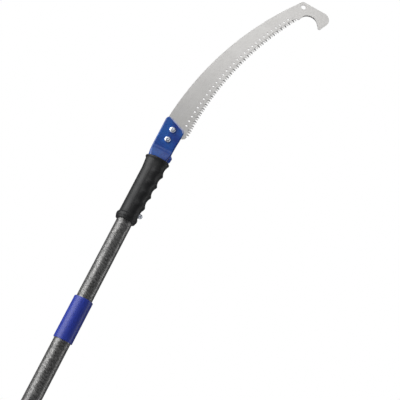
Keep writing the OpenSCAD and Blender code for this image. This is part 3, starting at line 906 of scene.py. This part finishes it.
def blade():
    bm = bmesh.new()
    outline = plain_outline()
    last = len(outline) - 1
    sides = {}
    for side in (-1, 1):
        y_face = side * BLADE_HALF
        rim, face = [], []
        for i, (x, z) in enumerate(outline):
            back, thin = edge_round(outline, i, side) if 0 < i < last else (0, 0)
            rim.append(bm.verts.new(point(x, side * (BLADE_HALF - thin), z)))
            if 0 < i < last:
                x, z = inset(outline, i, back)
            face.append(bm.verts.new(point(x, y_face, z)) if 0 < i < last else rim[-1])
        valleys = [bm.verts.new(point(x, y_face, z)) for x, z in (gullet(i) for i in range(TOOTH_COUNT + 1))]
        for i in range(last):
            corners = [rim[i], rim[i + 1], face[i + 1], face[i]]
            bm.faces.new(list(dict.fromkeys(corners)))
        holes = []
        for x, z, r, n in hole_list():
            ring = arc(x, z, r, 0, 360 - 360 / n, n - 1)
            holes.append([bm.verts.new(point(px, y_face, pz)) for px, pz in ring])
        fill_face(bm, [face + valleys[::-1]] + holes)
        sides[side] = (rim, valleys, holes)
    front, back = sides[-1], sides[1]
    for i in range(last):
        bm.faces.new((front[0][i], front[0][i + 1], back[0][i + 1], back[0][i]))
    for a, b in zip(front[2], back[2]):
        for i in range(len(a)):
            j = (i + 1) % len(a)
            bm.faces.new((a[i], a[j], b[j], b[i]))
    for end, valley in ((0, 0), (last, TOOTH_COUNT)):
        bm.faces.new((front[0][end], front[1][valley], back[1][valley], back[0][end]))
    for i in range(TOOTH_COUNT):
        tooth(bm, front[1], back[1], i)
    return make("saw_blade", bm, 18)


def hole_list():
    """Centre, radius and sides of each hole in the blade."""
    holes = [(*TIP_HOLE, TIP_HOLE_R, 40)]
    holes += [(SCREW_X, z, SCREW_HOLE_R, 24) for z in SCREW_Z]
    for i in range(SAP_COUNT):
        x, z = edge_point(SAP_START + i * SAP_STEP, SAP_ARC - i * SAP_DRIFT - TOOTH_ARC[2])
        holes.append((x, z, SAP_R, 18))
    return holes


def tooth(bm, front, back, i):
    """Tooth i, with three ground facets on the near face and set to the far side if i is even, else the
    reverse."""
    lean = 1 if i % 2 == 0 else -1
    cut_row, full_row = (front, back) if lean > 0 else (back, front)
    middle = TOOTH_START + (i - TOOTH_RAKE) * TOOTH_STEP
    y_cut, y_edge, y_full = -lean * BLADE_HALF, lean * (BLADE_HALF - 0.2), lean * (BLADE_HALF + TOOTH_SET)
    tips = [edge_point(middle + shift, inward) for shift, inward in ((-0.05, 0.0), (0.07, 0.7))]
    crest = bm.verts.new(point(*_xz(edge_point(middle - 0.01, TOOTH_H * 0.72), y_cut)))
    sharp = [bm.verts.new(point(*_xz(tip, y_edge))) for tip in tips]
    full = [bm.verts.new(point(*_xz(tip, y_full))) for tip in tips]
    low, high, low_full, high_full = cut_row[i], cut_row[i + 1], full_row[i], full_row[i + 1]
    bm.faces.new((low, crest, high))
    bm.faces.new((low, sharp[0], crest))
    bm.faces.new((sharp[0], sharp[1], crest))
    bm.faces.new((sharp[1], high, crest))
    bm.faces.new((low, low_full, full[0], sharp[0]))
    bm.faces.new((sharp[0], full[0], full[1], sharp[1]))
    bm.faces.new((sharp[1], full[1], high_full, high))
    bm.faces.new((low_full, high_full, full[1], full[0]))


def _xz(xz, y):
    """Puts y between the two coordinates of a point in the blade's plane."""
    return xz[0], y, xz[1]


# ---------------------------------------------------------------- fasteners
# Radii of the screws' shank and of the thread's valleys, and the thread's half pitch
SHAFT_R, THREAD_R, THREAD_STEP = 2.95, 2.6, 0.33
# Radial section of a lock washer, its gap in degrees, and how far its ends are sprung apart
WASHER = ((3.1, 0.16), (4.85, 0.16), (5.0, 0.3), (5.0, 0.9), (4.85, 1.04), (3.1, 1.04))
WASHER_GAP, WASHER_SPRING = 16, 0.25
# Radial section of a nut, half its width across flats, and its height above the ferrule
NUT = ((3.05, 0.3), (3.5, 0), (4.7, 0), (5.7, 0.55), (5.7, 4.05), (4.7, 4.6), (3.5, 4.6), (3.05, 4.3))
NUT_HALF, NUT_UP = 4.93, 1.2


def blade_screws():
    """Pan-head screws with a hexagon socket, and the thread that shows past each nut."""
    heads = []
    for z in SCREW_Z:
        profile = [(0, -3.2), (2.6, -3.2), (3.9, -3.0), (4.7, -2.5), (5.2, -1.7), (5.4, -0.8), (5.4, -0.1),
                   (5.25, 0.0), (SHAFT_R, 0.0), (SHAFT_R, 4.4)]
        for i in range(20):
            thread = SHAFT_R if i % 2 else THREAD_R
            profile.append((thread, 4.8 + i * THREAD_STEP))
        profile += [(2.3, 11.4), (0, 11.4)]
        place = along((0, 1, 0), point(SCREW_X, -FLAT_T, z))
        head = solid_lathe("blade_screw_pair", profile, 48, place, 35)
        socket = solid_lathe("cut", [(0, -6), (2.05, -6), (1.95, -1.7), (0, -1.3)], 6, place)
        heads.append(carve(head, socket, sharp=35))
    return join(*heads)


def lock_washers():
    """Split spring washers."""
    made = []
    for z in SCREW_Z:
        n = 40
        bm = bmesh.new()
        rings = []
        for i in range(n + 1):
            turn = math.radians(WASHER_GAP / 2 + (360 - WASHER_GAP) * i / n)
            rise = WASHER_SPRING * (i / n - 0.5)
            ring = []
            for r, y in WASHER:
                x = SCREW_X + r * math.cos(turn)
                ring.append(point(x, FLAT_T + y + rise * 0.5, z + r * math.sin(turn)))
            rings.append(ring)
        rows = skin(bm, rings)
        bm.faces.new(rows[0])
        bm.faces.new(rows[-1])
        made.append(make("spring_washer_pair", bm))
    return join(*made)


def blade_nuts():
    """Chamfered hexagon nuts."""
    made = []
    for z in SCREW_Z:
        place = along((0, 1, 0), point(SCREW_X, FLAT_T + NUT_UP, z))
        bm = bmesh.new()
        n = 48
        rings = []
        for r, h in NUT:
            ring = []
            for i in range(n):
                turn = math.tau * i / n
                flat = NUT_HALF / math.cos((turn % (math.pi / 3)) - math.pi / 6)
                here = min(r, flat)
                ring.append(place @ (Vector((here * math.cos(turn), here * math.sin(turn), h)) * MM))
            rings.append(ring)
        skin(bm, rings, closed=True)
        made.append(make("blade_nut_pair", bm, 25))
    return join(*made)


# ---------------------------------------------------------------- the snap button
# Place, thickness and half width of the spring's legs
SPRING_X, SPRING_T, SPRING_HALF = 10.8, 0.8, 3.5
# Heights where the legs end, lean in and meet the bend, and the bend's radius, centre and end angles
LEG_END, LEG_TOP, BEND_LOW = -84, -66, -34
BEND_R, BEND_Z, BEND_ENDS = 3.2, -35.2, (158, 22)


def snap_button():
    """The bright dome and the V spring behind it, as one piece."""
    crown = BUTTON_REACH - BUTTON_R
    profile = [(0, SPRING_X - 0.5), (BUTTON_R, SPRING_X - 0.5)]
    profile += [(BUTTON_R, lerp(SPRING_X, crown, f)) for f in (0.2, 0.5, 0.8)]
    profile += arc(0, crown, BUTTON_R, 0, 84, 10)
    profile.append((0, BUTTON_REACH))
    dome = solid_lathe("snap_button_spring", profile, 48, along((1, 0, 0), point(0, 0, BUTTON_Z)), 40)
    centre = [(-SPRING_X, LEG_END), (-SPRING_X, (LEG_END + LEG_TOP) / 2), (-SPRING_X, LEG_TOP)]
    centre += [(lerp(-SPRING_X, -BEND_R, i / 6), lerp(LEG_TOP, BEND_LOW, i / 6)) for i in range(1, 7)]
    centre += arc(0, BEND_Z, BEND_R, *BEND_ENDS, 8)
    centre += [(lerp(BEND_R, SPRING_X, i / 6), lerp(BEND_LOW, LEG_TOP, i / 6)) for i in range(7)]
    centre += [(SPRING_X, (LEG_END + LEG_TOP) / 2), (SPRING_X, LEG_END)]
    bm = bmesh.new()
    rings = []
    for i, (x, z) in enumerate(centre):
        before = Vector(centre[max(i - 1, 0)])
        after = Vector(centre[min(i + 1, len(centre) - 1)])
        run = (after - before).normalized()
        side = Vector((run.y, -run.x)) * SPRING_T
        ring = []
        for y, inner in ((-SPRING_HALF, 0), (SPRING_HALF, 0), (SPRING_HALF, 1), (-SPRING_HALF, 1)):
            ring.append(point(x + side.x * inner, y, z + side.y * inner))
        rings.append(ring)
    rows = skin(bm, rings)
    bm.faces.new(rows[0])
    bm.faces.new(rows[-1])
    strip = make("spring_strip", bm, 50)
    return join(dome, strip)


# ---------------------------------------------------------------- build the object
def build():
    """Makes every piece and gives back the blade, which has lamps of its own."""
    pole = hammered_paint()
    rubber = grip_rubber()
    bright = bright_plate()
    zinc = zinc_plate()
    nylon = moulded("natural_nylon", (0.62, 0.60, 0.53), (0.74, 0.72, 0.65), 0.4)
    black = moulded("black_moulding", (0.012, 0.012, 0.013), (0.022, 0.022, 0.024), 0.38)
    finish_piece(outer_tube(), pole, "outer_pole", "pole_paint", "outer_tube")
    finish_piece(inner_tube(), pole, "inner_pole", "pole_paint", "inner_tube")
    finish_piece(guide_sleeve(), sleeve_plastic(), "outer_pole", "blue_plastic", "guide_sleeve")
    finish_piece(sleeve_rivets(), zinc, "outer_pole", "zinc", "sleeve_rivets")
    finish_piece(butt_cap(), rubber, "outer_pole", "black_rubber", "butt_cap")
    finish_piece(grip(), rubber, "saw_head", "black_rubber", "grip")
    finish_piece(ferrule(), blue_coat(), "saw_head", "blue_paint", "ferrule")
    saw = finish_piece(blade(), saw_steel(), "saw_head", "blade_steel", "blade")
    finish_piece(blade_screws(), bright, "saw_head", "chrome", "blade_screws")
    finish_piece(lock_washers(), zinc, "saw_head", "zinc", "lock_washers")
    finish_piece(blade_nuts(), zinc, "saw_head", "zinc", "blade_nuts")
    button = snap_button()
    button.data.materials.append(bright)
    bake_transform(button)
    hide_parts("snap_button")
    for node, material in (("guide_bush", nylon), ("glide_sleeve", nylon), ("lock_plug", nylon),
                           ("lock_ring", black), ("handle_core", black), ("plug_rivets", zinc),
                           ("ring_washer", zinc), ("ring_screw", zinc), ("core_rivets", zinc)):
        part = frame["nodes"][node]
        part.data.materials.clear()
        part.data.materials.append(material)
        shade(part, 35)
    return saw


# ---------------------------------------------------------------- stage, light and camera
# Radii of the floor's rings and how far it lies below the object, in metres; its glow towards the camera
FLOOR_RINGS, FLOOR_GAP, FLOOR_GLOW = (0.02, 1.5, 4.0, 9.0), 0.0005, 0.62
# Strength of the world's light on the object
WORLD_LIGHT = 0.125
# Each lamp: azimuth in degrees, then height over the target, distance, width and height in metres
KEY = (-60, 0.45, 1.8, 1.9, 2.6)
FRONT = (-8, 1.88, 2.4, 2.2, 1.3)
RIM = (92, 0.2, 1.6, 0.32, 2.3)
BACK = (180, 0.6, 2.0, 1.2, 1.6)
# The lamps' target, in metres
TARGET = (0.03, 0, 1.45)
# The camera's place in the head's millimetres, its tilt and roll in degrees, and its lens and film width
CAMERA, TILT, ROLL = (94.5, -1261.0, -414.2), 18.09, 26.22
LENS, FILM = 72, 36


def floor():
    bm = bmesh.new()
    turns = [math.tau * i / 64 for i in range(64)]
    rings = [[Vector((r * math.cos(t), r * math.sin(t), -FLOOR_GAP)) for t in turns] for r in FLOOR_RINGS]
    rows = skin(bm, rings)
    bm.faces.new(rows[0])
    ground = make("studio_floor", bm)
    s = Shader("studio_floor", Roughness=0.85)
    s.set("Base Color", s.ramp(s.noise(s.place(), 3, 3, 0.5), (0.3, 0.80), (0.7, 0.84)))
    s.set("Emission Color", (0.95, 0.96, 1.0, 1.0))
    path = s.add("ShaderNodeLightPath")
    s.set("Emission Strength", s.math("MULTIPLY", path.outputs["Is Camera Ray"], FLOOR_GLOW))
    ground.data.materials.append(s.material)


def area_light(name, azimuth, height, distance, width, tall, power):
    """A softbox that faces the saw head; azimuth 0 is the camera's side and grows to the right."""
    data = bpy.data.lights.new(name, "AREA")
    data.shape = "RECTANGLE"
    data.size = width
    data.size_y = tall
    data.energy = power
    lamp = bpy.data.objects.new(name, data)
    bpy.context.scene.collection.objects.link(lamp)
    a = math.radians(azimuth)
    target = Vector(TARGET)
    lamp.location = target + Vector((math.sin(a) * distance, -math.cos(a) * distance, height))
    lamp.rotation_euler = (target - lamp.location).to_track_quat("-Z", "Y").to_euler()
    return lamp


def link_light(lamp, piece, state):
    """Lets a lamp light one piece only, or everything but that piece."""
    group = bpy.data.collections.new(lamp.name + "_group")
    group.objects.link(piece)
    group.collection_objects[0].light_linking.link_state = state
    lamp.light_linking.receiver_collection = group


def world():
    """Dim even light, behind which the camera sees white."""
    scene_world = bpy.data.worlds.new("studio")
    bpy.context.scene.world = scene_world
    scene_world.use_nodes = True
    tree = scene_world.node_tree
    tree.nodes.clear()
    path = tree.nodes.new("ShaderNodeLightPath")
    seen = tree.nodes.new("ShaderNodeBackground")
    seen.inputs["Color"].default_value = (1, 1, 1, 1)
    seen.inputs["Strength"].default_value = 1.0
    lit = tree.nodes.new("ShaderNodeBackground")
    lit.inputs["Color"].default_value = (0.95, 0.97, 1, 1)
    lit.inputs["Strength"].default_value = WORLD_LIGHT
    mix = tree.nodes.new("ShaderNodeMixShader")
    output = tree.nodes.new("ShaderNodeOutputWorld")
    tree.links.new(path.outputs["Is Camera Ray"], mix.inputs[0])
    tree.links.new(lit.outputs[0], mix.inputs[1])
    tree.links.new(seen.outputs[0], mix.inputs[2])
    tree.links.new(mix.outputs[0], output.inputs["Surface"])


def camera():
    """Looks up at the head from below, rolled so that the pole leans to the right."""
    tilt, roll = math.radians(TILT), math.radians(ROLL)
    data = bpy.data.cameras.new("camera")
    data.sensor_width = FILM
    data.lens = LENS
    data.clip_end = 100
    obj = bpy.data.objects.new("camera", data)
    bpy.context.scene.collection.objects.link(obj)
    obj.matrix_world = (Matrix.Translation(point(*CAMERA))
                        @ Matrix.Rotation(math.pi / 2 + tilt, 4, "X") @ Matrix.Rotation(roll, 4, "Z"))
    bpy.context.scene.camera = obj


def stage(saw):
    """Floor, lights and camera. The blade has its own key and front lamps, so that it doesn't wash out."""
    bpy.context.scene.view_settings.view_transform = "Standard"
    floor()
    world()
    link_light(area_light("key", *KEY, power=53), saw, "EXCLUDE")
    link_light(area_light("key_on_blade", *KEY, power=9), saw, "INCLUDE")
    link_light(area_light("front", *FRONT, power=9.2), saw, "EXCLUDE")
    link_light(area_light("front_on_blade", *FRONT, power=12.6), saw, "INCLUDE")
    area_light("rim", *RIM, power=7)
    area_light("back", *BACK, power=5)
    camera()


stage(build())
